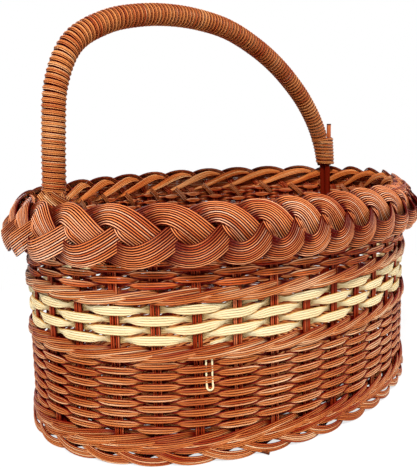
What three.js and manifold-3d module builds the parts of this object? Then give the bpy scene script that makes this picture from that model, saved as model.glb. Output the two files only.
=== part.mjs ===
// Oval storage basket of woven cane, with a plaited rim and a wrapped arch handle.
// Millimetres, +Z up. The origin is the middle of the footprint, on the surface it stands on.
// +X runs along the basket, under the handle, and stations count round the wall from +X.

import * as THREE from "three";
import { mergeVertices } from "three/addons/utils/BufferGeometryUtils.js";
import Module from "manifold-3d";

// Plan of the wall, measured on the middle line of the stakes
const wallHalfLength = 147.2;
const wallHalfWidth = 105.2;
const stakeCount = 37;
const firstStakeStation = 0.2;

// Cane bundles, as flat ribbons of strands laid side by side
const stakeWidth = 5.2;
const stakeThickness = 1.3;
const weaverThickness = 1.3;
const waleStrandHeight = 1.9;
const layClearance = 0.3;
const weaveSwing = 2.5;

// Foot border, a small plait that the basket stands on
const footHeight = 8.6;
const footRibbonWidth = 3.0;
const footRibbonThickness = 1.3;
const footSwing = 1.95;
const footFlatDepth = 0.5;
const footStepsPerStake = 2;

// Rows of weaving, from the foot up
const rowPitch = 2.95;
const rowGap = 0.45;
const creamRowPitch = 5.3;
const creamRowGap = 0.6;
const lowerRows = 13;
const creamRows = 4;
const upperRows = 9;
const waleRise = 6.2;
const waleStrands = 3;
const bandClearance = 0.5;
const stepUpStakes = 4;
const lowerSeamStake = 24;
const creamSeamStake = 23;
const upperSeamStake = 24;

// Plaited border round the rim
const plaitHeight = 32;
const plaitRibbonWidth = 10.4;
const plaitRibbonThickness = 2.2;
const plaitSwing = 3.8;
const plaitStepsPerStake = 3;
const plaitOverlapHeight = 14.9;
const plaitStrands = 3;
const plaitShift = 0.24;
const plaitBedding = 0.8;
const stakeLean = 7.5;

// Oval base with sticks under it
const baseThickness = 1.6;
const baseStepsPerStake = 2;
const baseStickCount = 5;
const baseStickWidth = 6;
const baseStickThickness = 2.6;
const baseStickPitch = 42;
const baseStickClearance = 3.0;

// Arch handle, two rods side by side and two core canes under one wrapping
const rodRadius = 2.2;
const rodGap = 0.3;
const rodSteps = 26;
const rodSides = 6;
const coreRadius = 1.3;
const coreSetback = 2;
const coreSteps = 20;
const handleOffset = 9.3;
const legBedding = 1.1;
const handleRise = 105.7;
const wrapLoops = 24;
const wrapLoopGap = 2.8;
const wrapRibbonThickness = 1.3;
const wrapClearance = 1.7;
const wrapStepsPerLoop = 9;
const wrapStart = 1.5;
const leastWrapGap = 0.4;

// Peg that the last two loops bind to the far leg
const pegRadius = 1.8;
const pegLength = 36;
const pegOffset = 5.4;
const pegClearance = 0.6;
const boundLoops = 2;
const boundTilt = 0.5;

// Loose hairpin of cream strand beside a stake
const tailRadius = 0.75;
const tailLength = 16.5;
const tailHalfGap = 1.6;
const tailStake = 22;
const tailSideStep = 0.25;
const tailBedding = 0.9;

// Heights that follow from the values above
const brownWeaverHeight = rowPitch - rowGap;
const creamWeaverHeight = creamRowPitch - creamRowGap;
const footTop = footHeight;
const waleHeight = waleRise + waleStrandHeight;
const lowerWaleBase = footTop + bandClearance;
const lowerBandBase = lowerWaleBase + waleHeight + bandClearance;
const middleWaleBase = lowerBandBase + lowerRows * rowPitch + bandClearance;
const creamBandBase = middleWaleBase + waleHeight + bandClearance;
const upperWaleBase = creamBandBase + creamRows * creamRowPitch + bandClearance;
const upperBandBase = upperWaleBase + waleHeight + bandClearance;
const weaveTop = upperBandBase + upperRows * rowPitch;
const plaitBase = weaveTop - plaitOverlapHeight;
const rimHeight = plaitBase + plaitHeight;
const weaveFace = weaveSwing + weaverThickness / 2;
const plaitFace = weaveFace + layClearance - plaitBedding;
const plaitOut = plaitFace + plaitSwing + plaitRibbonThickness / 2;
const baseUnderside = footTop + layClearance;
const baseTop = baseUnderside + baseThickness;

// Colours and finishes of the cane
const cane = { color: 0x9a4f2f, roughness: 0.45, metalness: 0 };
const stakeCane = { color: 0x7c3420, roughness: 0.5, metalness: 0 };
const plaitCane = { color: 0xab5c3b, roughness: 0.42, metalness: 0 };
const wrapCane = { color: 0xb0683e, roughness: 0.42, metalness: 0 };
const creamCane = { color: 0xf0e1a5, roughness: 0.45, metalness: 0 };
const baseCane = { color: 0x8a4528, roughness: 0.55, metalness: 0 };
const rodCane = { color: 0x7a3018, roughness: 0.5, metalness: 0 };

const wasm = await Module();
wasm.setup();

const basket = new THREE.Group();
const up = new THREE.Vector3(0, 0, 1);

function addPiece(name, geometry, finish) {
  const mesh = new THREE.Mesh(geometry, new THREE.MeshStandardMaterial(finish));
  mesh.name = name;
  basket.add(mesh);
}

// The ellipse of the wall, measured by the length of its arc so that stakes are evenly spaced
function measureOval(halfLength, halfWidth, samples = 1440) {
  const lengths = [0];
  const pointAt = (angle) =>
    new THREE.Vector2(halfLength * Math.cos(angle), halfWidth * Math.sin(angle));
  let before = pointAt(0);
  for (let i = 1; i <= samples; i++) {
    const here = pointAt((2 * Math.PI * i) / samples);
    lengths.push(lengths[i - 1] + here.distanceTo(before));
    before = here;
  }
  const whole = lengths[samples];
  function angleAt(share) {
    const wanted = (share - Math.floor(share)) * whole;
    let low = 0;
    let high = samples;
    while (high - low > 1) {
      const middle = (low + high) >> 1;
      if (lengths[middle] > wanted) high = middle;
      else low = middle;
    }
    const part = (wanted - lengths[low]) / (lengths[high] - lengths[low]);
    return (2 * Math.PI * (low + part)) / samples;
  }
  return { whole, angleAt };
}

const wallOval = measureOval(wallHalfLength, wallHalfWidth);
const stakeSpacing = wallOval.whole / stakeCount;

// A place on the wall: station in stake spacings, distance out from the middle line, height
function wallPlace(station, outward, height) {
  const angle = wallOval.angleAt((station + firstStakeStation) / stakeCount);
  const out = new THREE.Vector3(
    Math.cos(angle) / wallHalfLength,
    Math.sin(angle) / wallHalfWidth,
    0,
  ).normalize();
  const centre = new THREE.Vector3(
    wallHalfLength * Math.cos(angle),
    wallHalfWidth * Math.sin(angle),
    height,
  ).addScaledVector(out, outward);
  return { centre, out };
}

// A solid skinned over rings of points, each ring counter-clockwise seen from the way it travels
function skinRings(rings, closed) {
  const sides = rings[0].length;
  const positions = rings.flat().flatMap((point) => [point.x, point.y, point.z]);
  const faces = [];
  const spans = closed ? rings.length : rings.length - 1;
  for (let i = 0; i < spans; i++) {
    const here = i * sides;
    const next = ((i + 1) % rings.length) * sides;
    for (let j = 0; j < sides; j++) {
      const k = (j + 1) % sides;
      faces.push(here + j, here + k, next + k);
      faces.push(here + j, next + k, next + j);
    }
  }
  if (!closed) {
    const last = (rings.length - 1) * sides;
    for (let j = 1; j < sides - 1; j++) {
      faces.push(0, j + 1, j);
      faces.push(last, last + j, last + j + 1);
    }
  }
  const geometry = new THREE.BufferGeometry();
  geometry.setAttribute("position", new THREE.Float32BufferAttribute(positions, 3));
  geometry.setIndex(faces);
  geometry.computeVertexNormals();
  return geometry;
}

// The four corners of a flat ribbon, its width along across and its thickness along out
function ribbonRing(centre, out, across, width, thickness) {
  const corners = [
    [1, 1],
    [-1, 1],
    [-1, -1],
    [1, -1],
  ];
  return corners.map(([a, o]) =>
    centre
      .clone()
      .addScaledVector(across, (a * width) / 2)
      .addScaledVector(out, (o * thickness) / 2),
  );
}

// A ribbon that follows places on the wall
function ribbonAlong(places, width, thickness, closed) {
  const count = places.length;
  const rings = places.map((place, i) => {
    const before = places[closed ? (i + count - 1) % count : Math.max(i - 1, 0)];
    const after = places[closed ? (i + 1) % count : Math.min(i + 1, count - 1)];
    const travel = new THREE.Vector3().subVectors(after.centre, before.centre);
    const across = new THREE.Vector3().crossVectors(place.out, travel).normalize();
    return ribbonRing(place.centre, place.out, across, width, thickness);
  });
  return skinRings(rings, closed);
}

function mergedSolid(geometry) {
  const bare = geometry.clone();
  bare.deleteAttribute("normal");
  bare.deleteAttribute("uv");
  const merged = mergeVertices(bare, 1e-4);
  return new wasm.Manifold(
    new wasm.Mesh({
      numProp: 3,
      vertProperties: new Float32Array(merged.attributes.position.array),
      triVerts: new Uint32Array(merged.index.array),
    }),
  );
}

function solidGeometry(solid) {
  const mesh = solid.getMesh();
  const geometry = new THREE.BufferGeometry();
  geometry.setAttribute(
    "position",
    new THREE.Float32BufferAttribute(mesh.vertProperties, mesh.numProp),
  );
  geometry.setIndex(new THREE.BufferAttribute(mesh.triVerts, 1));
  geometry.computeVertexNormals();
  return geometry;
}

// Plain weave: one unbroken weaver winds up the wall, in front of one stake and behind the next.
// Its rows lie level and step up together over the last few stakes of each turn, where it ends.
function plainWeave(seamStake, rows, bandBase, pitch, height) {
  const places = [];
  const last = rows * stakeCount - stepUpStakes;
  for (let i = 0; i <= last; i++) {
    const turn = Math.floor(i / stakeCount);
    const along = i - turn * stakeCount;
    const climb = Math.max(0, along - (stakeCount - stepUpStakes)) / stepUpStakes;
    const outward = i % 2 === 0 ? weaveSwing : -weaveSwing;
    const middle = bandBase + pitch * (turn + climb + 0.5);
    places.push(wallPlace(seamStake + i, outward, middle));
  }
  return ribbonAlong(places, height, weaverThickness, false);
}

// Waling: strands that pass in front of two stakes and behind one, each a stake after the other.
// The count of stakes leaves one over three, so one strand going round three times makes all three.
function wale(bandBase) {
  const places = [];
  for (let i = 0; i < waleStrands * stakeCount; i++) {
    const beat = i % waleStrands;
    const outward = beat === waleStrands - 1 ? -weaveSwing : weaveSwing;
    const rise = beat === 0 ? 0 : waleRise;
    const middle = bandBase + waleStrandHeight / 2 + rise;
    places.push(wallPlace(i, outward, middle));
  }
  return ribbonAlong(places, waleStrandHeight, weaverThickness, true);
}

// A three-strand plait round the wall. Each strand is a wave three stakes long that crosses the
// other two in front and behind, and one unbroken strand going round three times makes all three.
function plait(size) {
  const halfWave = (size.height - size.width) / 2;
  const steps = plaitStrands * stakeCount * size.stepsPerStake;
  const places = [];
  for (let i = 0; i < steps; i++) {
    const station = i / size.stepsPerStake;
    const phase = (2 * Math.PI * station) / plaitStrands + Math.PI / 2;
    const outward = size.outward - size.swing * Math.sin(2 * phase);
    const height = size.base + size.height / 2 + halfWave * Math.sin(phase);
    places.push(wallPlace(station + size.shift, outward, height));
  }
  return ribbonAlong(places, size.width, size.thickness, true);
}

// Foot border, cut flat underneath where it stands
function footBorder() {
  const border = plait({
    base: -footFlatDepth,
    height: footHeight + footFlatDepth,
    width: footRibbonWidth,
    thickness: footRibbonThickness,
    swing: footSwing,
    outward: 0,
    shift: 0,
    stepsPerStake: footStepsPerStake,
  });
  const reach = 2 * (wallHalfLength + weaveFace);
  const floor = new THREE.BoxGeometry(reach, reach, footHeight);
  floor.translate(0, 0, -footHeight / 2);
  const cut = mergedSolid(border).subtract(mergedSolid(floor));
  return solidGeometry(cut);
}

// A stake: one flat bundle that rises through the weaving and leans over into the plait
function stake(index) {
  const lean = stakeLean / stakeSpacing;
  const bend = weaveTop + layClearance;
  const top = rimHeight - plaitRibbonWidth;
  const reach = plaitOut - plaitSwing - plaitRibbonThickness - stakeThickness - layClearance;
  const places = [
    wallPlace(index, 0, footTop + layClearance),
    wallPlace(index, 0, bend),
    wallPlace(index + lean, Math.max(reach, 0), top),
  ];
  return ribbonAlong(places, stakeWidth, stakeThickness, false);
}

// Base panel: the oval floor, laid on the foot border with its edge against the stakes
function basePanel() {
  const inset = stakeThickness / 2 + layClearance;
  const outline = new THREE.Shape(
    Array.from({ length: baseStepsPerStake * stakeCount }, (_, i) => {
      const { centre } = wallPlace(i / baseStepsPerStake, -inset, 0);
      return new THREE.Vector2(centre.x, centre.y);
    }),
  );
  const panel = new THREE.ExtrudeGeometry(outline, { depth: baseThickness, bevelEnabled: false });
  panel.translate(0, 0, baseUnderside);
  return panel;
}

// Sticks across the underside, each as long as the oval is wide at its place
function baseStick(index) {
  const x = (index - (baseStickCount - 1) / 2) * baseStickPitch;
  const inset = footSwing + footRibbonThickness / 2 + baseStickClearance;
  const share = (Math.abs(x) + baseStickWidth / 2) / (wallHalfLength - inset);
  const halfLength = (wallHalfWidth - inset) * Math.sqrt(1 - share * share);
  const stick = new THREE.BoxGeometry(baseStickWidth, 2 * halfLength, baseStickThickness);
  stick.translate(x, 0, baseUnderside - layClearance - baseStickThickness / 2);
  return stick;
}

// Middle line of the handle: straight up inside the wall, where its legs bed into the weaving
// beside a stake, then a hand-bent arch,
// squarer over the near end and slanting down to the far one. Heights are above the rim.
const legInset = weaveFace + layClearance + rodRadius - legBedding;
const legReach = handleOffset + 2 * rodRadius + rodGap / 2;
const legHalfSpan =
  (wallHalfLength - legInset) * Math.sqrt(1 - (legReach / (wallHalfWidth - legInset)) ** 2);
const archOutline = [
  [-1, -0.19],
  [-0.993, 0.07],
  [-0.985, 0.33],
  [-0.952, 0.58],
  [-0.842, 0.79],
  [-0.678, 0.92],
  [-0.489, 0.987],
  [-0.294, 1.005],
  [-0.1, 0.995],
  [0.092, 0.955],
  [0.279, 0.885],
  [0.458, 0.783],
  [0.625, 0.65],
  [0.778, 0.489],
  [0.901, 0.297],
  [0.983, 0.067],
  [1, -0.19],
];
const sideways = new THREE.Vector3(0, 1, 0);
const down = new THREE.Vector3(0, 0, -1);
const rodBase = baseTop + layClearance;
const archLine = new THREE.CatmullRomCurve3(
  archOutline.map(
    ([x, z]) => new THREE.Vector3(x * legHalfSpan, handleOffset, rimHeight + z * handleRise),
  ),
  false,
  "centripetal",
);
archLine.arcLengthDivisions = 1200;

// The share of the arch's length at which it passes a height, from either end
function archShareAt(height, fromFarEnd) {
  const samples = 1200;
  let share = 0;
  for (let i = 0; i <= samples; i++) {
    share = i / samples;
    const point = archLine.getPointAt(fromFarEnd ? 1 - share : share);
    if (point.z >= height) break;
  }
  return fromFarEnd ? 1 - share : share;
}

const wrapFrom = archShareAt(rimHeight + wrapStart, false);
const wrapTo = archShareAt(rimHeight + wrapStart, true);
const wrapLength = (wrapTo - wrapFrom) * archLine.getLength();
const wrapRibbonWidth = (wrapLength - wrapLoops * wrapLoopGap) / (wrapLoops + 1);
const wrapPitch = wrapRibbonWidth + wrapLoopGap;
const wrapReach = 2 * rodRadius + rodGap / 2 + wrapClearance + wrapRibbonThickness / 2;

// A place on the arch with the direction that it runs in and the one out of the arch
function archFrame(share) {
  const centre = archLine.getPointAt(share);
  const along = archLine.getTangentAt(share).normalize();
  const outward = new THREE.Vector3().crossVectors(along, sideways).normalize();
  return { centre, along, outward };
}

// A round rod along the arch, set off to the side or out of the arch
function roundRod(frames, radius, sideShift, outShift, sides) {
  const rings = frames.map(({ centre, outward }) => {
    const middle = centre
      .clone()
      .addScaledVector(sideways, sideShift)
      .addScaledVector(outward, outShift);
    return Array.from({ length: sides }, (_, j) => {
      const angle = (2 * Math.PI * (j + 0.5)) / sides;
      return middle
        .clone()
        .addScaledVector(sideways, radius * Math.cos(angle))
        .addScaledVector(outward, radius * Math.sin(angle));
    });
  });
  return skinRings(rings, false);
}

// One of the two rods of the handle, from the base inside one end up and over to the other
function handleRod(side) {
  const arch = Array.from({ length: rodSteps + 1 }, (_, i) => archFrame(i / rodSteps));
  const nearFoot = { ...arch[0], centre: arch[0].centre.clone().setZ(rodBase) };
  const farFoot = { ...arch[rodSteps], centre: arch[rodSteps].centre.clone().setZ(rodBase) };
  nearFoot.outward = new THREE.Vector3(-1, 0, 0);
  farFoot.outward = new THREE.Vector3(1, 0, 0);
  const shift = side * (rodRadius + rodGap / 2);
  return roundRod([nearFoot, ...arch, farFoot], rodRadius, shift, 0, rodSides);
}

// A core cane, laid in the groove between the rods so that the wrapping comes out round
function coreCane(side) {
  const beside = rodRadius + rodGap / 2;
  const apart = rodRadius + coreRadius + layClearance;
  const shift = side * Math.sqrt(apart ** 2 - beside ** 2);
  const boundLength = (boundLoops + 0.75) * wrapPitch;
  const from = wrapFrom + coreSetback / archLine.getLength();
  const to = wrapTo - boundLength / archLine.getLength();
  const frames = Array.from({ length: coreSteps + 1 }, (_, i) =>
    archFrame(THREE.MathUtils.lerp(from, to, i / coreSteps)),
  );
  return roundRod(frames, coreRadius, 0, shift, rodSides);
}

// How far the last loops open to take in the peg, from 0 to 1; they change on the inner side
function openingAt(loop) {
  const left = wrapLoops - loop;
  return 1 - THREE.MathUtils.smoothstep(left, boundLoops - 0.75, boundLoops - 0.25);
}

// Handle wrapping: one unbroken flat ribbon wound round the rods. Its last loops are oval and
// lie along the upright peg on their outer side.
const pegLine = legHalfSpan + pegOffset;
function handleWrap() {
  const steps = wrapLoops * wrapStepsPerLoop;
  const rings = [];
  for (let i = 0; i <= steps; i++) {
    const loop = i / wrapStepsPerLoop;
    const travelled = wrapRibbonWidth / 2 + loop * wrapPitch;
    const { centre, along } = archFrame(wrapFrom + travelled / archLine.getLength());
    const opening = openingAt(loop);
    const upright = along.clone().lerp(down, opening * boundTilt).normalize();
    const outward = new THREE.Vector3().crossVectors(upright, sideways).normalize();
    const toPeg = (pegLine + pegRadius - centre.x) / outward.x;
    const overPeg = toPeg + pegClearance + wrapRibbonThickness / 2;
    const reach = THREE.MathUtils.lerp(wrapReach, Math.max(overPeg, wrapReach), opening);
    const halfLong = (reach + wrapReach) / 2;
    const angle = 2 * Math.PI * loop;
    const middle = centre
      .clone()
      .addScaledVector(outward, (reach - wrapReach) / 2 + halfLong * Math.cos(angle))
      .addScaledVector(sideways, wrapReach * Math.sin(angle));
    const out = new THREE.Vector3()
      .addScaledVector(outward, Math.cos(angle) / halfLong)
      .addScaledVector(sideways, Math.sin(angle) / wrapReach)
      .normalize();
    const toward = opening * Math.max(0, Math.cos(angle));
    const across = along.clone().lerp(down, toward).normalize().negate();
    rings.push(ribbonRing(middle, out, across, wrapRibbonWidth, wrapRibbonThickness));
  }
  return { geometry: skinRings(rings, false), rings };
}

// Least distance between one loop of the wrapping and the next, taken on points along its edges
function leastGapBetweenLoops(rings) {
  const finePoints = (corner) =>
    rings.slice(1).flatMap((ring, i) =>
      [0.25, 0.5, 0.75, 1].map((part) => rings[i][corner].clone().lerp(ring[corner], part)),
    );
  const edges = [0, 1, 2, 3].map(finePoints);
  const loopPoints = 4 * wrapStepsPerLoop;
  let least = Infinity;
  edges.forEach((first) =>
    edges.forEach((second) =>
      first.forEach((point, i) => {
        for (let j = i + loopPoints / 2; j < Math.min(i + 2 * loopPoints, second.length); j++) {
          least = Math.min(least, point.distanceTo(second[j]));
        }
      }),
    ),
  );
  return least;
}

// Peg: a short cut rod that stands upright on the outside of the far leg
function handlePeg() {
  const peg = new THREE.CylinderGeometry(pegRadius, pegRadius, pegLength, 8);
  peg.rotateX(Math.PI / 2);
  peg.translate(pegLine, handleOffset, rimHeight + pegLength / 2 + layClearance);
  return peg;
}

// Cream tail: a strand end bent into a hairpin that hangs on the face of the weaving
function creamTail() {
  const station = tailStake + tailSideStep;
  const outward = weaveFace + layClearance + tailRadius - tailBedding;
  const { centre, out } = wallPlace(station, outward, 0);
  const along = new THREE.Vector3().crossVectors(up, out);
  const top = middleWaleBase - layClearance;
  const at = (sideways, height) =>
    centre.clone().addScaledVector(along, sideways).setZ(height);
  const bendHeight = top - tailLength + tailHalfGap;
  const points = [at(-tailHalfGap, top), at(-tailHalfGap, top - tailLength / 2)];
  const bendPoints = 4;
  for (let i = 0; i <= bendPoints; i++) {
    const angle = Math.PI + (Math.PI * i) / bendPoints;
    const sideways = tailHalfGap * Math.cos(angle);
    points.push(at(sideways, bendHeight + tailHalfGap * Math.sin(angle)));
  }
  points.push(at(tailHalfGap, top - tailLength / 2), at(tailHalfGap, top));
  const section = new THREE.Shape();
  const corners = 6;
  for (let i = 0; i < corners; i++) {
    const angle = (2 * Math.PI * i) / corners;
    const x = tailRadius * Math.cos(angle);
    const y = tailRadius * Math.sin(angle);
    if (i === 0) section.moveTo(x, y);
    else section.lineTo(x, y);
  }
  return new THREE.ExtrudeGeometry(section, {
    steps: 14,
    extrudePath: new THREE.CatmullRomCurve3(points, false, "centripetal"),
  });
}

addPiece("foot_border", footBorder(), cane);
addPiece("base_panel", basePanel(), baseCane);
for (let i = 0; i < baseStickCount; i++) {
  addPiece(`base_stick_${i + 1}`, baseStick(i), rodCane);
}
for (let i = 0; i < stakeCount; i++) {
  addPiece(`stake_${String(i + 1).padStart(2, "0")}`, stake(i), stakeCane);
}
addPiece("lower_wale", wale(lowerWaleBase), cane);
addPiece(
  "lower_weaver",
  plainWeave(lowerSeamStake, lowerRows, lowerBandBase, rowPitch, brownWeaverHeight),
  cane,
);
addPiece("middle_wale", wale(middleWaleBase), cane);
addPiece(
  "cream_weaver",
  plainWeave(creamSeamStake, creamRows, creamBandBase, creamRowPitch, creamWeaverHeight),
  creamCane,
);
addPiece("upper_wale", wale(upperWaleBase), cane);
addPiece(
  "upper_weaver",
  plainWeave(upperSeamStake, upperRows, upperBandBase, rowPitch, brownWeaverHeight),
  cane,
);
addPiece(
  "rim_plait",
  plait({
    base: plaitBase,
    height: plaitHeight,
    width: plaitRibbonWidth,
    thickness: plaitRibbonThickness,
    swing: plaitSwing,
    outward: plaitOut,
    shift: plaitShift,
    stepsPerStake: plaitStepsPerStake,
  }),
  plaitCane,
);
addPiece("handle_rod_front", handleRod(-1), rodCane);
addPiece("handle_rod_back", handleRod(1), rodCane);
addPiece("handle_core_inner", coreCane(-1), rodCane);
addPiece("handle_core_outer", coreCane(1), rodCane);
const wrapping = handleWrap();
addPiece("handle_wrap", wrapping.geometry, wrapCane);
addPiece("handle_peg", handlePeg(), rodCane);
addPiece("cream_tail", creamTail(), creamCane);

const loopGap = leastGapBetweenLoops(wrapping.rings);
const verdict = loopGap > leastWrapGap ? "clear" : "too close";
console.log(`handle wrapping: least gap between loops ${loopGap.toFixed(2)} mm, ${verdict}`);

export default basket;
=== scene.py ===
import math
import random

import bpy
import numpy as np
from mathutils import Matrix, Vector


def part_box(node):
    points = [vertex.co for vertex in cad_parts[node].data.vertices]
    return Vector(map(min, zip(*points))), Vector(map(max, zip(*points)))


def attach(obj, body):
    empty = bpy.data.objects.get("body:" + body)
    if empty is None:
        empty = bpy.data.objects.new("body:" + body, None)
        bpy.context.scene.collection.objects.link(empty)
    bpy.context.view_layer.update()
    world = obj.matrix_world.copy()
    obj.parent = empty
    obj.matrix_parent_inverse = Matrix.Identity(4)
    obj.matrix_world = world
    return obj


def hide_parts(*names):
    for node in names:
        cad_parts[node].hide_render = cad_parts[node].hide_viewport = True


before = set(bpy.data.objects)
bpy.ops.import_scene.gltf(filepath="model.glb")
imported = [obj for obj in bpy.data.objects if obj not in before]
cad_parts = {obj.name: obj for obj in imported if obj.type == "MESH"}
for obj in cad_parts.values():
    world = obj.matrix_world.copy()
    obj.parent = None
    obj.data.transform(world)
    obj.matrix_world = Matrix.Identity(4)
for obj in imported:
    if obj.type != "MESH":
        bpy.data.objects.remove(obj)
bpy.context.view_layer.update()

# Foot border
# The basket stands on a scalloped border of cane bundles, one loop for every stake. Each loop
# drops in front of the wall, runs along the floor past the next stake and tucks up behind the one
# after it, so the loops hold each other without a nail.
MM = 0.001
STAKE_COUNT = 37
FIRST_STAKE = 0.2
WALL_HALF_LENGTH = 147.2
WALL_HALF_WIDTH = 105.2
OVAL_STEPS = 2880
UP = np.array([0.0, 0.0, 1.0])


def run_along(points):
    """The length along a line at each of its points."""
    return np.concatenate([[0.0], np.cumsum(np.linalg.norm(np.diff(points, axis=0), axis=1))])


oval_turn = np.linspace(0.0, 2.0 * math.pi, OVAL_STEPS + 1)
oval_line = np.stack([WALL_HALF_LENGTH * np.cos(oval_turn), WALL_HALF_WIDTH * np.sin(oval_turn)], axis=1)
oval_run = run_along(oval_line)
STAKE_SPACING = oval_run[-1] / STAKE_COUNT


def wall_turn(station):
    """The oval's angle at a station, which counts the stakes round the wall."""
    share = ((np.asarray(station, dtype=float) + FIRST_STAKE) / STAKE_COUNT) % 1.0
    return np.interp(share * oval_run[-1], oval_run, oval_turn)


def wall_outward(station):
    turn = wall_turn(station)
    way = np.stack([np.cos(turn) / WALL_HALF_LENGTH, np.sin(turn) / WALL_HALF_WIDTH, 0.0 * turn], axis=-1)
    return way / np.linalg.norm(way, axis=-1, keepdims=True)


def wall_point(station, outward, height):
    """A point by its station, its distance outward from the stakes' middle and its height, in mm."""
    turn = wall_turn(station)
    middle = [WALL_HALF_LENGTH * np.cos(turn), WALL_HALF_WIDTH * np.sin(turn), 0.0 * turn]
    moved = np.stack(middle, axis=-1) + wall_outward(station) * np.asarray(outward)[..., None]
    return moved + UP * np.asarray(height)[..., None]


def unit(ways):
    nearly_nothing = 1e-9
    return ways / np.maximum(np.linalg.norm(ways, axis=-1, keepdims=True), nearly_nothing)


def heading(points, closed=False):
    if closed:
        return unit(np.roll(points, -1, axis=0) - np.roll(points, 1, axis=0))
    return unit(np.gradient(points, axis=0))


def smooth_through(stops, count):
    """A smooth line of count points through a few stops, with whatever columns the stops have."""
    stops = np.asarray(stops, dtype=float)
    ends = np.vstack([2.0 * stops[0] - stops[1], stops, 2.0 * stops[-1] - stops[-2]])
    just_short = 0.000001
    share = np.linspace(0.0, len(stops) - 1.0 - just_short, count)
    part = share.astype(int)
    rest = (share - part)[:, None]
    before, first, last, after = ends[part], ends[part + 1], ends[part + 2], ends[part + 3]
    square = 2 * before - 5 * first + 4 * last - after
    cube = 3 * first - before - 3 * last + after
    return 0.5 * (2 * first + (last - before) * rest + square * rest**2 + cube * rest**3)


class Wiring:
    """Short ways to build a node tree."""

    def __init__(self, tree):
        self.tree = tree

    def node(self, kind, feeds=(), **settings):
        """A node with its settings. The feeds are a value or another node's output for each input,
        by the input's name or number or all in order."""
        made = self.tree.nodes.new(kind)
        for key, value in settings.items():
            setattr(made, key, value)
        named = feeds if isinstance(feeds, dict) else dict(enumerate(feeds))
        for key, value in named.items():
            if isinstance(value, bpy.types.NodeSocket):
                self.tree.links.new(value, made.inputs[key])
            else:
                made.inputs[key].default_value = value
        return made

    def number(self, operation, *values, **settings):
        return self.node("ShaderNodeMath", values, operation=operation, **settings).outputs[0]

    def vector(self, operation, *values):
        return self.node("ShaderNodeVectorMath", values, operation=operation).outputs["Vector"]

    def scaled(self, vector, factor):
        feeds = {0: vector, "Scale": factor}
        return self.node("ShaderNodeVectorMath", feeds, operation="SCALE").outputs["Vector"]

    def measure(self, operation, *values):
        """A number that comes from vectors, such as a length or a dot product."""
        return self.node("ShaderNodeVectorMath", values, operation=operation).outputs["Value"]

    def ramp(self, value, first, between, last):
        """Colours along a value, each given as its place and its colour."""
        made = self.node("ShaderNodeValToRGB", [value])
        elements = made.color_ramp.elements
        for element, (place, colour) in zip(elements, (first, last)):
            element.position = place
            element.color = (*colour, 1.0)
        elements.new(between[0]).color = (*between[1], 1.0)
        return made.outputs[0]


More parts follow.
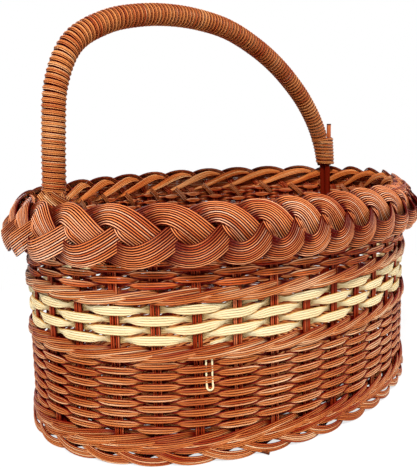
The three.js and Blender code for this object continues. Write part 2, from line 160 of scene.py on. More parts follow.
def strand_tree():
    """Geometry Nodes: every line becomes a bundle of round strands that lie side by side."""
    wander_scale, wander_apart = 75.0, 3.7
    tree = bpy.data.node_groups.new("cane bundle", "GeometryNodeTree")
    for label, kind in (
        ("Lines", "Geometry"), ("Strands", "Int"), ("Diameter", "Float"), ("Crown", "Float"),
        ("Waver", "Float"), ("Sides", "Int"), ("Seed", "Int"), ("Finish", "Material"),
    ):
        tree.interface.new_socket(label, in_out="INPUT", socket_type="NodeSocket" + kind)
    tree.interface.new_socket("Cane", in_out="OUTPUT", socket_type="NodeSocketGeometry")
    wires = Wiring(tree)

    def kept(geometry, label, value, data_type="FLOAT", domain="POINT"):
        """The geometry with a value stored on it as a named attribute."""
        feeds = {"Name": label, "Geometry": geometry, "Value": value}
        kind = "GeometryNodeStoreNamedAttribute"
        return wires.node(kind, feeds, data_type=data_type, domain=domain).outputs[0]

    def way_of(label):
        feeds = {"Name": label}
        return wires.node("GeometryNodeInputNamedAttribute", feeds, data_type="FLOAT_VECTOR").outputs[0]

    given = wires.node("NodeGroupInput").outputs
    curve = wires.node("GeometryNodeMeshToCurve", [given["Lines"]])
    feeds = {"Geometry": curve.outputs[0], "Amount": given["Strands"]}
    copies = wires.node("GeometryNodeDuplicateElements", feeds, domain="SPLINE")
    copy = copies.outputs["Duplicate Index"]
    # place in the bundle: -1 at its first strand, 1 at its last
    half = wires.number("MULTIPLY", wires.number("SUBTRACT", given["Strands"], 1.0), 0.5)
    place = wires.number("SUBTRACT", copy, half)
    edge = wires.number("DIVIDE", place, wires.number("MAXIMUM", half, 0.5))
    arch = wires.number("SUBTRACT", 1.0, wires.number("MULTIPLY", edge, edge))
    sideways = wires.scaled(way_of("across"), place)
    crowned = wires.scaled(way_of("face"), wires.number("MULTIPLY", arch, given["Crown"]))
    # each strand wanders a little on its own
    here = wires.node("GeometryNodeInputPosition").outputs[0]
    own = wires.number("ADD", wires.number("MULTIPLY", copy, wander_apart), given["Seed"])
    feeds = {"Scale": wander_scale, "Detail": 1.0, "Vector": here, "W": own}
    noise = wires.node("ShaderNodeTexNoise", feeds, noise_dimensions="4D").outputs["Color"]
    wander = wires.scaled(wires.vector("SUBTRACT", noise, (0.5, 0.5, 0.5)), given["Waver"])
    offset = wires.vector("ADD", wires.vector("ADD", sideways, crowned), wander)
    laid = wires.node("GeometryNodeSetPosition", {"Geometry": copies.outputs["Geometry"], "Offset": offset})
    # what the finish reads: a tone for each strand, its rank in the bundle and the run along it
    feeds = {"ID": wires.node("GeometryNodeInputIndex").outputs[0], "Seed": given["Seed"]}
    chance = wires.node("FunctionNodeRandomValue", feeds, data_type="FLOAT")
    tone = next(output for output in chance.outputs if output.enabled)
    line = kept(laid.outputs[0], "tone", tone, domain="CURVE")
    line = kept(line, "rank", edge, domain="CURVE")
    line = kept(line, "run", wires.node("GeometryNodeSplineParameter").outputs["Length"])
    # the round section, which also tells the finish which side of the strand a point is on
    feeds = {"Resolution": given["Sides"], "Radius": wires.number("MULTIPLY", given["Diameter"], 0.5)}
    ring = wires.node("GeometryNodeCurvePrimitiveCircle", feeds, mode="RADIUS")
    way = wires.vector("NORMALIZE", wires.node("GeometryNodeInputPosition").outputs[0])
    section = kept(ring.outputs[0], "side", way, data_type="FLOAT_VECTOR")
    feeds = {"Curve": line, "Profile Curve": section, "Fill Caps": True}
    skin = wires.node("GeometryNodeCurveToMesh", feeds)
    smooth = wires.node("GeometryNodeSetShadeSmooth", {"Geometry": skin.outputs[0]})
    whole = wires.node("GeometryNodeRealizeInstances", [smooth.outputs[0]])
    feeds = {"Geometry": whole.outputs[0], "Material": given["Finish"]}
    finish = wires.node("GeometryNodeSetMaterial", feeds)
    wires.node("NodeGroupOutput", [finish.outputs[0]])
    return tree


CANE_TREE = strand_tree()


def lay_cane(runs, diameter, finish, strands=1, crown=0.0, waver=0.15, sides=6, seed=1, depths=None):
    """Lays a bundle along each run (points, strand-to-strand steps, outward ways, closed), in mm.
    The depths say where a run lies in its weave: 1 at its front, -1 at its back."""
    points, steps, ways, edges = [], [], [], []
    for line, step, way, closed in runs:
        first = len(points)
        points.extend(line * MM)
        steps.extend(np.broadcast_to(step, line.shape) * MM)
        ways.extend(np.broadcast_to(way, line.shape))
        edges.extend((first + i, first + i + 1) for i in range(len(line) - 1))
        if closed:
            edges.append((first + len(line) - 1, first))
    chain = bpy.data.meshes.new("cane lines")
    chain.from_pydata([tuple(p) for p in points], edges, [])
    for label, values in (("across", steps), ("face", ways)):
        attribute = chain.attributes.new(label, "FLOAT_VECTOR", "POINT")
        attribute.data.foreach_set("vector", np.asarray(values, dtype=np.float32).ravel())
    depth = chain.attributes.new("depth", "FLOAT", "POINT")
    depths = np.zeros(len(points)) if depths is None else depths
    depth.data.foreach_set("value", np.asarray(depths, dtype=np.float32))
    maker = bpy.data.objects.new("cane lines", chain)
    bpy.context.scene.collection.objects.link(maker)
    bundle = maker.modifiers.new("bundle", "NODES")
    bundle.node_group = CANE_TREE
    sizes = {
        "Strands": strands, "Diameter": diameter * MM, "Crown": crown * MM, "Waver": waver * MM,
        "Sides": sides, "Seed": seed, "Finish": finish,
    }
    for socket in CANE_TREE.interface.items_tree:
        if socket.in_out == "INPUT" and socket.name in sizes:
            bundle[socket.identifier] = sizes[socket.name]
    depsgraph = bpy.context.evaluated_depsgraph_get()
    mesh = bpy.data.meshes.new_from_object(maker.evaluated_get(depsgraph), depsgraph=depsgraph)
    bpy.data.objects.remove(maker)
    bpy.data.meshes.remove(chain)
    return mesh


def finish_piece(name, meshes, slot, *nodes):
    """Joins the laid bundles into one named piece, which stands for its CAD nodes on the one body."""
    parts = []
    for mesh in meshes:
        part = bpy.data.objects.new(name, mesh)
        bpy.context.scene.collection.objects.link(part)
        parts.append(part)
    if len(parts) > 1:
        chosen = {"selected_editable_objects": parts, "selected_objects": parts}
        with bpy.context.temp_override(active_object=parts[0], object=parts[0], **chosen):
            bpy.ops.object.join()
    piece = parts[0]
    piece.name = name
    piece.data.name = name
    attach(piece, "root")
    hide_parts(*nodes)


def cane_finish(
    name, groove_shade, deep, body, bright, grooving,
    roughness=0.42, contrast=1.0, diving=(-0.85, -0.05), bordering=(0.25, 0.9),
):
    """Varnished cane: long fibres, a tone for every strand, slow changes of colour, and painted shade
    in the grooves between the strands, where a bundle dives behind another and along its borders.
    Grooving and diving tell where the painted shade is full and where it ends, bordering where it
    starts and where it is full."""
    fibres_apart, fibres_along = 57.0, 28.0
    lengths_apart, lengths_along = 91.0, 14.0
    material = bpy.data.materials.new(name)
    material.use_nodes = True
    wires = Wiring(material.node_tree)

    def attribute(label, output="Fac"):
        return wires.node("ShaderNodeAttribute", attribute_name=label).outputs[output]

    def noise(place, scale, detail, rough=0.5):
        feeds = {"Scale": scale, "Detail": detail, "Roughness": rough, "Vector": place}
        return wires.node("ShaderNodeTexNoise", feeds).outputs["Fac"]

    def place_at(**feeds):
        return wires.node("ShaderNodeCombineXYZ", feeds).outputs[0]

    def past(value, low, high):
        """0 on the low value's side, 1 on the high value's, with a soft change between them."""
        feeds = {"From Min": low, "From Max": high, "Value": value}
        return wires.node("ShaderNodeMapRange", feeds, interpolation_type="SMOOTHSTEP").outputs["Result"]

    def swayed(base, change, weight):
        """The base with a change that goes from 0 to 1 added to it, about its half, by a weight."""
        return wires.number("MULTIPLY_ADD", wires.number("SUBTRACT", change, 0.5), weight, base)

    tone = attribute("tone")
    run = attribute("run")
    side = wires.node("ShaderNodeSeparateXYZ", [attribute("side", "Vector")]).outputs
    aside = wires.number("MULTIPLY_ADD", tone, fibres_apart, side[0])
    place = place_at(X=aside, Y=side[1], Z=wires.number("MULTIPLY", run, fibres_along))
    fibres = noise(place, scale=1.9, detail=3.0, rough=0.6)
    aside = wires.number("MULTIPLY", tone, lengths_apart)
    place = place_at(X=aside, Y=wires.number("MULTIPLY", run, lengths_along))
    lengths = noise(place, scale=1.0, detail=1.0)
    patches = noise(wires.node("ShaderNodeTexCoord").outputs["Object"], scale=22.0, detail=2.0)
    shade = 0.5
    for change, weight in ((fibres, 0.9), (lengths, 1.0), (patches, 0.8), (tone, 0.42)):
        shade = swayed(shade, change, weight * contrast)
    colour = wires.ramp(shade, (0.05, deep), (0.5, body), (0.95, bright))
    # painted shade in the grooves between the strands, on the sides that turn away from the bundle's face
    normal = wires.node("ShaderNodeNewGeometry").outputs["Normal"]
    facing = wires.measure("DOT_PRODUCT", attribute("face", "Vector"), normal)
    level = swayed(wires.number("ABSOLUTE", facing), patches, 0.2)
    # and painted shade where the bundle dives behind a stake or another bundle
    sunk = wires.number("MULTIPLY", attribute("depth"), wires.number("SIGN", facing))
    # and painted shade along both borders of the bundle, where it meets the next one
    flank = wires.measure("DOT_PRODUCT", wires.vector("NORMALIZE", attribute("across", "Vector")), normal)
    border = past(wires.number("MULTIPLY", flank, attribute("rank")), bordering[1], bordering[0])
    unshaded = wires.number("MULTIPLY", past(level, *grooving), past(sunk, *diving))
    unshaded = wires.number("MULTIPLY", unshaded, border)
    # the groove colour is painted shade, mixed in wherever one of the masks above falls
    feeds = {0: unshaded, 6: (*groove_shade, 1.0), 7: colour}
    painted_shade = wires.node("ShaderNodeMix", feeds, data_type="RGBA")
    grain = wires.node("ShaderNodeBump", {"Strength": 0.35, "Distance": 0.00015, "Height": fibres})
    shader = material.node_tree.nodes["Principled BSDF"].inputs
    gloss = swayed(roughness, fibres, -0.25)
    looks = {"Base Color": painted_shade.outputs[2], "Normal": grain.outputs[0], "Roughness": gloss}
    for label, output in looks.items():
        material.node_tree.links.new(output, shader[label])
    for label, value in (("Specular IOR Level", 0.05), ("Coat Weight", 0.02), ("Coat Roughness", 0.25)):
        shader[label].default_value = value
    return material


CANE_BROWN = cane_finish(
    "varnished brown cane", groove_shade=(0.12, 0.002, 0.0004), deep=(0.22, 0.013, 0.001),
    body=(0.50, 0.15, 0.035), bright=(0.79, 0.53, 0.31), grooving=(0.42, 0.96),
)

# one loop's station, outward and height (mm), from its start behind the wall to its tucked end
FOOT_LOOP = (
    (-0.62, -1.9, 8.6), (-0.30, -0.2, 8.5), (0.00, 2.4, 7.2), (0.28, 3.7, 5.0), (0.60, 4.1, 3.1),
    (0.95, 3.6, 2.4), (1.25, 2.2, 2.7), (1.55, -0.1, 4.2), (1.85, -1.5, 6.0), (2.15, -1.9, 8.2),
)
FOOT_STRANDS = 5
FOOT_STRAND = 0.98
FOOT_OVERLAP = 0.04
FOOT_STEPS = 24
FOOT_SLIP = 0.08
FOOT_SAG = 0.25
FOOT_MIDDLE = 1.0
# a bundle this far out from its middle lies at the very front of its weave
DEPTH_REACH = 2.2

foot_along, foot_out, foot_up = smooth_through(FOOT_LOOP, FOOT_STEPS).T
foot_chance = random.Random(11)
foot_runs = []
for stake in range(STAKE_COUNT):
    station = stake + foot_chance.uniform(-FOOT_SLIP, FOOT_SLIP) + foot_along
    sag = foot_chance.uniform(-FOOT_SAG, FOOT_SAG) * np.sin(np.linspace(0.0, math.pi, FOOT_STEPS))
    line = wall_point(station, foot_out, foot_up + sag)
    outward = wall_outward(station)
    step = unit(np.cross(outward, heading(line))) * FOOT_STRAND
    foot_runs.append((line, step, outward, False))
foot_depths = np.tile(np.clip((foot_out - FOOT_MIDDLE) / DEPTH_REACH, -1.0, 1.0), STAKE_COUNT)
foot = lay_cane(
    foot_runs, FOOT_STRAND + FOOT_OVERLAP, CANE_BROWN, strands=FOOT_STRANDS, crown=0.3, seed=3,
    depths=foot_depths,
)

# one dark cut end sticks out under the border at the near front: station, outward, height
LOOSE_END = ((23.40, 1.5, 1.9), (23.55, 4.1, 1.4), (23.66, 6.7, 1.0))
LOOSE_END_DIAMETER = 1.7
CUT_END = cane_finish(
    "dark cut end", groove_shade=(0.03, 0.004, 0.001), deep=(0.04, 0.006, 0.001),
    body=(0.10, 0.02, 0.005), bright=(0.22, 0.07, 0.02), grooving=(0.1, 0.6), roughness=0.6,
)
line = wall_point(*smooth_through(LOOSE_END, 7).T)
loose = lay_cane([(line, UP, UP, False)], LOOSE_END_DIAMETER, CUT_END, waver=0.0, sides=10, seed=4)
finish_piece("foot_loops", [foot, loose], "cane_brown", "foot_border")

# Base
# The floor of the basket is an oval mat of cane, woven in a spiral round spokes that run in from
# the stakes. Five flat sticks are bound under it. The photograph doesn't show the floor, so its
# weave is the usual one for such a basket.
BASE_MIDDLE = 9.7
BASE_RIM_INSET = 1.9
BASE_FIRST_ROW = 1.6
BASE_ROW_PITCH = 3.5
BASE_ROWS = 29
BASE_SWING = 0.85
BASE_STRAND = 1.18
BASE_THICKNESS = 1.34
MOST_STEPS_PER_STAKE = 6
LEAST_STEPS_PER_STAKE = 3

CANE_BASE = cane_finish(
    "matt floor cane", groove_shade=(0.08, 0.002, 0.0004), deep=(0.27, 0.03, 0.006),
    body=(0.48, 0.13, 0.03), bright=(0.70, 0.35, 0.14), grooving=(0.25, 0.80), roughness=0.5,
)


def floor_point(station, inset, height):
    """A point on the floor by its station, its distance inward from the wall and its height."""
    turn = wall_turn(station)
    along = (WALL_HALF_LENGTH - np.asarray(inset)) * np.cos(turn)
    across = (WALL_HALF_WIDTH - np.asarray(inset)) * np.sin(turn)
    return np.stack([along, across, height + 0.0 * turn], axis=-1)


station = []
for row in range(BASE_ROWS):
    room = 1.0 - row * BASE_ROW_PITCH / WALL_HALF_WIDTH
    per_stake = max(LEAST_STEPS_PER_STAKE, int(round(MOST_STEPS_PER_STAKE * room)))
    station.extend(row * STAKE_COUNT + np.arange(STAKE_COUNT * per_stake) / per_stake)
station = np.asarray(station)
inset = BASE_RIM_INSET + BASE_FIRST_ROW + station / STAKE_COUNT * BASE_ROW_PITCH
line = floor_point(station, inset, BASE_MIDDLE + BASE_SWING * np.cos(math.pi * station))
inward = unit(floor_point(station, inset + 1.0, 0.0) - floor_point(station, inset, 0.0))
mat_run = (line, inward * BASE_STRAND, UP, False)
mat = lay_cane([mat_run], BASE_THICKNESS, CANE_BASE, strands=3, waver=0.1, sides=5, seed=21)

SPOKE_INNER_INSET = 99.0
SPOKE_STRAND = 1.1
SPOKE_STEPS = 14
SPOKE_SPREAD = (1.2, 0.45)
spoke_runs = []
for stake in range(STAKE_COUNT):
    inset = np.linspace(BASE_RIM_INSET, SPOKE_INNER_INSET, SPOKE_STEPS)
    line = floor_point(np.full(SPOKE_STEPS, float(stake)), inset, BASE_MIDDLE)
    spread = np.linspace(*SPOKE_SPREAD, SPOKE_STEPS)[:, None]
    spoke_runs.append((line, unit(np.cross(UP, heading(line))) * spread, UP, False))
spokes = lay_cane(spoke_runs, SPOKE_STRAND, CANE_BASE, strands=3, sides=5, seed=22)
finish_piece("base_mat", [mat, spokes], "cane_base", "base_panel")

STICK_COUNT = 5
STICK_PITCH = 42.0
STICK_HEIGHT = 7.9
STICK_STRAND = 1.5
STICK_STEPS = 9
for number in range(STICK_COUNT):
    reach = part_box(f"base_stick_{number + 1}")[1][1] / MM
    place = np.full(STICK_STEPS, (number - STICK_COUNT // 2) * STICK_PITCH)
    across = np.linspace(-reach, reach, STICK_STEPS)
    line = np.stack([place, across, np.full(STICK_STEPS, STICK_HEIGHT)], axis=1)
    stick_run = (line, np.array([STICK_STRAND, 0.0, 0.0]), -UP, False)
    bound = lay_cane([stick_run], STICK_STRAND, CANE_BASE, strands=4, crown=0.3, sides=8, seed=30 + number)
    finish_piece(f"bound_stick_{number + 1}", [bound], "cane_base", f"base_stick_{number + 1}")

# Stakes
# The 37 uprights of the wall are bundles of four cane strands, laid as two pairs. They stand in
# the foot border, run straight up through all the rows, and lean over at the top, where they go
# into the plaited rim. They show as small red-brown windows between the rows.
RIM_HEIGHT = 139.1
WEAVE_TOP = 122.0
STAKE_STRAND = 1.3
STAKE_LEAN = 7.5 / STAKE_SPACING
STAKE_STEPS = 21
PAIR_OFFSET = 1.38
PAIR_SPREAD = 1.25
# share of the lean, outward and height (mm)
STAKE_LINE = (
    (0.0, 0.0, 8.9), (0.0, 0.0, 45.0), (0.0, 0.0, 85.0), (0.0, 0.0, WEAVE_TOP - 4.0),
    (0.5, 0.3, WEAVE_TOP + 1.5), (1.05, 0.9, RIM_HEIGHT - 10.4),
)

CANE_STAKE = cane_finish(
    "red-brown stake cane", groove_shade=(0.05, 0.001, 0.0002), deep=(0.16, 0.006, 0.001),
    body=(0.34, 0.036, 0.006), bright=(0.62, 0.18, 0.07), grooving=(0.35, 0.90),
)

stake_lean, stake_out, stake_up = smooth_through(STAKE_LINE, STAKE_STEPS).T
stake_runs = []
for stake in range(STAKE_COUNT):
    station = stake + stake_lean * STAKE_LEAN
    for pair in (-1.0, 1.0):
        line = wall_point(station + pair * PAIR_OFFSET / STAKE_SPACING, stake_out, stake_up)
        outward = wall_outward(station)
        step = unit(np.cross(heading(line), outward)) * PAIR_SPREAD
        stake_runs.append((line, step, outward, False))
stakes = lay_cane(stake_runs, STAKE_STRAND, CANE_STAKE, strands=2, waver=0.2, seed=41)
finish_piece("stake_canes", [stakes], "cane_stake", *[f"stake_{n + 1:02d}" for n in range(STAKE_COUNT)])

# Lower wale
# Directly above the foot cane bundles are twined round the wall, three together, in two layers.
# Each passes in front of two stakes and behind the third, so long strokes rise to the right and
# lock the stakes at the bottom.
WALE_STRANDS = 4
WALE_STRAND = 1.12
WALE_STEPS = 8
WALE_ROUNDS = 3
STROKE_STAKES = 3.0
STROKE_STEPS = 400
WALE_PINCH = 0.18
# the height, pace and start of two slow waves in it
WALE_SWAY = ((0.25, 0.61, 1.0), (0.2, 1.7, 2.0))
# place in one stroke (of three stakes), outward and height (mm) from the wale's bottom
WALE_STROKE = (
    (0.00, -2.3, 4.6), (0.30, -1.0, 3.4), (0.55, 1.6, 2.5), (1.00, 3.2, 2.3), (1.50, 3.1, 3.2),
    (2.00, 2.7, 4.9), (2.45, 1.5, 5.9), (2.72, -0.8, 5.8), (3.00, -2.3, 4.6),
)


def sway(place, waves, shift=1.0):
    """A sum of slow waves, which keeps strokes from being all alike."""
    return sum(height * np.sin(place * pace + start * shift) for height, pace, start in waves)


def wale(bottom, start, seed):
    """One closed run of three rounds, which meets itself as three bundles twined together."""
    place = np.arange(STAKE_COUNT * WALE_ROUNDS * WALE_STEPS) / WALE_STEPS
    stroke = np.asarray(WALE_STROKE)
    period = np.array([STROKE_STAKES, 0.0, 0.0])
    fine = smooth_through(np.vstack([stroke[-2] - period, stroke, stroke[1] + period]), STROKE_STEPS)
    phase = place % STROKE_STAKES
    outward = np.interp(phase, fine[:, 0], fine[:, 1])
    height = bottom + np.interp(phase, fine[:, 0], fine[:, 2]) + sway(place, WALE_SWAY, seed)
    line = wall_point(start + place, outward, height)
    out = wall_outward(start + place)
    pinch = 1.0 - WALE_PINCH * (1.0 - np.clip(outward / 2.0, -1.0, 1.0))
    step = unit(np.cross(out, heading(line, closed=True))) * (WALE_STRAND * pinch)[:, None]
    depths = np.clip(outward / DEPTH_REACH, -1.0, 1.0)
    twined = (line, step, out, True)
    return lay_cane(
        [twined], WALE_STRAND, CANE_BROWN, strands=WALE_STRANDS, crown=0.25, seed=seed, depths=depths
    )


lower_layers = [wale(bottom=9.1, start=24.0, seed=51), wale(bottom=6.2, start=24.7, seed=52)]
finish_piece("lower_wale_canes", lower_layers, "cane_brown", "lower_wale")

# Lower wall
# One brown bundle of three strands is woven over and under the stakes, round and round, in 13
# rows. There is an odd number of stakes, so each row comes out opposite the one below it. The
# strands spread where they pass a stake and squeeze together where two rows cross between stakes.
WEAVE_STEPS = 8
WEAVE_ENDS = (0.3, 1.6)
WEAVE_SKEW = 0.42
WEAVE_UNREST = 0.22
WEAVE_TUCK_IN = 1.2
WEAVE_TUCK_DOWN = 4.5
WEAVE_TUCK_UP = 2.5
TUCK_LENGTH, TUCK_END_LENGTH = 0.7, 0.6
TUCK_CURVE = 1.5
# where a row's two climbs begin and over how many stakes they go, counted from its start
FIRST_CLIMB = (-0.3, 1.2)
SECOND_CLIMB = (1.0, 1.0)
# the wave's value at which the strands are squeezed together, and how far it reaches to both sides
GATHER_AT = -0.5
GATHER_OUTER, GATHER_INNER = 0.62, 0.35
GATHER_SLANT = 0.6
ROW_PITCH = 2.95
ROW_STRANDS = 3
LOWER_ROWS = 13


def ease(place, start=0.0, length=1.0):
    """A soft rise from 0 to 1 that begins at the start and takes the length."""
    share = np.clip((place - start) / length, 0.0, 1.0)
    return share * share * (3.0 - 2.0 * share)


def woven_spiral(bottom, rows, pitch, start, strands, strand, spread, narrowing, swing, finish, seed):
    """A plain weave of level rows. Where it starts and ends one row more is pressed into the band,
    and there each row climbs to the place of the next."""
    chance = random.Random(seed)
    steps = int((rows * STAKE_COUNT + WEAVE_ENDS[1] - WEAVE_ENDS[0]) * WEAVE_STEPS)
    place = WEAVE_ENDS[0] + np.arange(steps + 1) / WEAVE_STEPS
    row = np.floor((place + 1.0) / STAKE_COUNT)
    past_start = place - row * STAKE_COUNT
    pressed = (row + 0.5) / (rows + 1.0)
    before = np.where(row > 0.0, (row - 0.5) / rows, pressed)
    after = np.where(row < rows, (row + 0.5) / rows, pressed)
    level = before + (pressed - before) * ease(past_start, *FIRST_CLIMB)
    level = level + (after - pressed) * ease(past_start, *SECOND_CLIMB)
    wave = np.cos(math.pi * place)
    outward = swing * (wave + WEAVE_SKEW * (1.0 - wave * wave))
    nudge_count = steps // WEAVE_STEPS + 3
    nudges = [chance.uniform(-WEAVE_UNREST, WEAVE_UNREST) for _ in range(nudge_count)]
    height = bottom + rows * pitch * level
    height = height + np.interp(place, np.arange(nudge_count), nudges)
    # both ends are tucked in behind the rows beside them
    tucked = np.clip(1.0 - (place - place[0]) / TUCK_LENGTH, 0.0, 1.0) ** TUCK_CURVE
    ended = np.clip(1.0 - (place[-1] - place) / TUCK_END_LENGTH, 0.0, 1.0) ** TUCK_CURVE
    outward = outward - WEAVE_TUCK_IN * (tucked + ended)
    height = height - WEAVE_TUCK_DOWN * tucked + WEAVE_TUCK_UP * ended
    line = wall_point(start + place, outward, height)
    out = wall_outward(start + place)
    reach = np.where(wave > GATHER_AT, GATHER_OUTER, GATHER_INNER)
    gathered = narrowing * np.exp(-((wave - GATHER_AT) / reach) ** 2)
    upright = strand * spread * (1.0 - gathered)
    aslant = strand * GATHER_SLANT * gathered
    weaver = (line, UP * upright[:, None] + out * aslant[:, None], out, False)
    return lay_cane(
        [weaver], strand, finish, strands=strands, crown=0.15, waver=0.14, seed=seed, depths=wave
    )


lower_rows = woven_spiral(
    bottom=17.7, rows=LOWER_ROWS, pitch=ROW_PITCH, start=5.0, strands=ROW_STRANDS, strand=1.32, spread=1.07,
    narrowing=0.9, swing=1.75, finish=CANE_BROWN, seed=61,
)
finish_piece("lower_wall_rows", [lower_rows], "cane_brown", "lower_weaver")

# Middle wale
# A second wale of three brown bundles closes the lower wall and gives the cream band a firm edge
# to sit on.
finish_piece("middle_wale_canes", [wale(bottom=56.6, start=23.0, seed=71)], "cane_brown", "middle_wale")

# Cream band
# The pale stripe is undyed cane, woven like the brown rows but with a wider bundle of four
# strands, four rows high. Dark slits stay open beside the stakes, because the wide rows can't
# close up.
CREAM_ROWS = 4
CREAM_ROW_PITCH = 5.3
CREAM_STRANDS = 4
CANE_CREAM = cane_finish(
    "undyed cream cane", groove_shade=(0.46, 0.24, 0.06), deep=(0.64, 0.42, 0.18),
    body=(0.72, 0.59, 0.34), bright=(0.76, 0.66, 0.44),
    grooving=(0.12, 0.60), contrast=0.6, diving=(-1.15, -0.35),
)
cream_rows = woven_spiral(
    bottom=65.2, rows=CREAM_ROWS, pitch=CREAM_ROW_PITCH, start=22.0, strands=CREAM_STRANDS, strand=1.36,
    spread=1.0, narrowing=0.5, swing=1.6, finish=CANE_CREAM, seed=81,
)
finish_piece("cream_rows", [cream_rows], "cane_cream", "cream_weaver")

# Upper wale
# The third wale, above the cream band, is twined like the other two.
finish_piece("upper_wale_canes", [wale(bottom=86.9, start=24.4, seed=91)], "cane_brown", "upper_wale")

# Upper wall
# Nine more rows of the brown three-strand bundle fill the wall up to the rim. The plaited border
# covers the upper ones on the outside, and inside they show below the leaning stake ends.
UPPER_ROWS = 9
CANE_UPPER = cane_finish(
    "darker red-brown cane", groove_shade=(0.12, 0.002, 0.0004), deep=(0.24, 0.012, 0.001),
    body=(0.55, 0.125, 0.026), bright=(0.79, 0.45, 0.25), grooving=(0.42, 0.96),
)
upper_rows = woven_spiral(
    bottom=95.5, rows=UPPER_ROWS, pitch=ROW_PITCH, start=5.0, strands=ROW_STRANDS, strand=1.3, spread=1.06,
    narrowing=0.9, swing=1.75, finish=CANE_UPPER, seed=101,
)
finish_piece("upper_wall_rows", [upper_rows], "cane_brown", "upper_weaver")

# Plaited rim
# The border is a plait of three broad bands of ten strands that hangs over the outside of the rim
# in 34 lobes. Each band arches over the top, runs down in front, passes under the next, rounds the
# lower edge and comes up over the one after. Stake ends lean into it from inside.
PLAIT_LOBES = 34
PLAIT_ROUNDS = 3
PLAIT_HEIGHT = 32.0
PLAIT_BAND = 10
PLAIT_SPACING = 1.28
PLAIT_STRAND = 1.24
PLAIT_OUT = 7.7
PLAIT_SWING = 1.9
PLAIT_BELLY = 3.0
PLAIT_TOP_TILT = 0.68
PLAIT_FOOT_TILT = 0.25
PLAIT_STEPS = 9
PLAIT_SHIFT = 0.24
PLAIT_LAG = 0.08
# stretches of the rim that differ a little: the station of their middle and their width in stakes
FAR_END = (31.0, 2.2)
NEAR_END = (16.3, 1.5)
NEAR_END_LOOPS = (18.0, 1.5)
NEAR_END_LAG = 0.35
NEAR_END_STAND = 2.4
FAR_END_LEAN = 4.2
FAR_END_DROP = 3.0
FAR_END_TILT = 0.5

CANE_PLAIT = cane_finish(
    "varnished plait cane", groove_shade=(0.07, 0.001, 0.0002), deep=(0.40, 0.035, 0.005),
    body=(0.79, 0.25, 0.076), bright=(0.90, 0.60, 0.42),
    grooving=(0.76, 1.0), roughness=0.38, contrast=0.75, diving=(-1.1, -0.35),
)

# where the crests of the first lobes stand on the far side, in stakes: they are longer there
FAR_CRESTS = (0.24, 1.45, 2.75, 4.01, 5.25, 6.49, 7.73, 8.95, 10.18, 11.39, 12.6, 13.8, 14.97, 16.1, 17.18)
# on the near front, between these two stations, the hand-made lobes wander about the stakes
WANDER_FROM, WANDER_TO = 16.7, 28.7
WANDER_HALF_WAVE = 4.0
WANDER = 0.25


def plait_station(lobe):
    """Where a lobe's crest stands, counted in stakes."""
    lobe = np.asarray(lobe, dtype=float)
    rounds = np.floor(lobe / PLAIT_LOBES)
    past = lobe - rounds * PLAIT_LOBES
    near = past + STAKE_COUNT - PLAIT_LOBES
    sway = -WANDER * np.sin((near - WANDER_FROM) * math.pi / WANDER_HALF_WAVE)
    wander = np.where((near > WANDER_FROM) & (near < WANDER_TO), sway, 0.0)
    far = np.interp(past, np.arange(len(FAR_CRESTS)), FAR_CRESTS)
    return rounds * STAKE_COUNT + np.where(past < len(FAR_CRESTS) - 1, far, near + PLAIT_SHIFT + wander)


def plait_phase(lobe):
    """The angle of a band's wave, which takes three lobes from one crest to the next."""
    return 2.0 * math.pi * lobe / PLAIT_ROUNDS + 0.5 * math.pi


def nearness(station, middle, width):
    """1 in the middle of a stretch of the rim, fading to 0 on both sides of it."""
    return np.exp(-(((station % STAKE_COUNT) - middle) / width) ** 2)


def plait_run(lobe, sidestep=0.0, inset=0.0, closed=False):
    """A band's line, its strand-to-strand steps and its outward ways. The sidestep moves the line
    across the band and the inset moves it inward."""
    phase = plait_phase(lobe)
    wave = np.sin(phase)
    high = 0.5 + 0.5 * wave
    half_band = 0.5 * PLAIT_BAND * PLAIT_SPACING
    crest = RIM_HEIGHT - half_band * math.cos(PLAIT_TOP_TILT)
    trough = RIM_HEIGHT - PLAIT_HEIGHT + half_band * math.cos(PLAIT_FOOT_TILT)
    station = plait_station(lobe)
    # the lower loops lag a little behind the crests, and more so round the near end
    lag = PLAIT_LAG + NEAR_END_LAG * nearness(station, *NEAR_END_LOOPS)
    station = station - lag * (1.0 - high)
    # the far end of the rim leans in at the top, and the near end stands away at the bottom
    far_end = nearness(station, *FAR_END)
    stand = NEAR_END_STAND * nearness(station, *NEAR_END) * (1.0 - high)
    lean = PLAIT_BELLY * wave + FAR_END_LEAN * far_end * high - stand
    outward = PLAIT_OUT - PLAIT_SWING * np.sin(2.0 * phase) - lean - inset
    height = 0.5 * (crest + trough) + 0.5 * (crest - trough) * wave - FAR_END_DROP * far_end * high
    line = wall_point(station, outward, height)
    tilt = np.where(wave > 0.0, PLAIT_TOP_TILT + FAR_END_TILT * far_end, PLAIT_FOOT_TILT) * wave
    face = wall_outward(station) * np.cos(tilt)[:, None] + UP * np.sin(tilt)[:, None]
    step = unit(np.cross(face, heading(line, closed)))
    return line + step * np.asarray(sidestep)[..., None], step * PLAIT_SPACING, face


lobe = np.arange(PLAIT_LOBES * PLAIT_ROUNDS * PLAIT_STEPS) / PLAIT_STEPS
plait_depths = -np.sin(2.0 * plait_phase(lobe))
band_run = (*plait_run(lobe, closed=True), True)
bands = lay_cane(
    [band_run], PLAIT_STRAND, CANE_PLAIT, strands=PLAIT_BAND, crown=0.8, waver=0.34, seed=111,
    depths=plait_depths,
)

# on its way down from a crest each band has three more strands, which come out from under its side
JOINING_START = 0.12
JOINING_TURN = 0.35
JOINING_STEPS = 15
JOINING_SIDE, JOINING_SPREAD = 4.2, 3.9
JOINING_INSET, JOINING_RISE = 2.6, 2.3
share = np.linspace(0.0, 1.0, JOINING_STEPS)
beside = ease(share, length=JOINING_TURN)
sidestep = -JOINING_SIDE - JOINING_SPREAD * beside
inset = JOINING_INSET - JOINING_RISE * beside
joining_runs = []
for crest in range(PLAIT_LOBES):
    lobe = crest * PLAIT_ROUNDS + JOINING_START + share
    joining_runs.append((*plait_run(lobe, sidestep, inset), False))
joining = lay_cane(joining_runs, PLAIT_STRAND, CANE_PLAIT, strands=3, crown=0.2, waver=0.2, seed=112)

